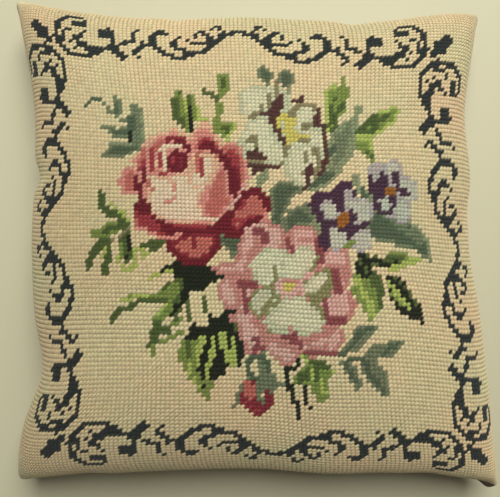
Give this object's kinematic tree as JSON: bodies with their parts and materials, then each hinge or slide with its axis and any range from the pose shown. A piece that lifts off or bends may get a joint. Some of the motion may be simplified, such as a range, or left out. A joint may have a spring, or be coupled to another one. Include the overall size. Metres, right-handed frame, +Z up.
{
  "type": "needlepoint cushion with a floral canvas panel",
  "caption": "Filled square cushion with a floral wool needlepoint front and a plain back cloth, crowned, with drawn-in sides and blunt corners, lying on its back.",
  "frame": {"origin": "middle of the flat spot underneath, on the surface that the cushion lies on", "axes": "+Z up out of the stitched front, +Y towards the top of its design, +X to the right of it"},
  "size_m": [0.3323, 0.3331, 0.0851],
  "materials": {
    "needlepoint_panel": "wool tent stitch on canvas, beige ground",
    "filled_back": "plain brown cloth over a soft filling"
  },
  "bodies": {
    "root": {"needlepoint_panel": "needlepoint_panel", "filled_back": "filled_back"}
  },
  "joints": []
}
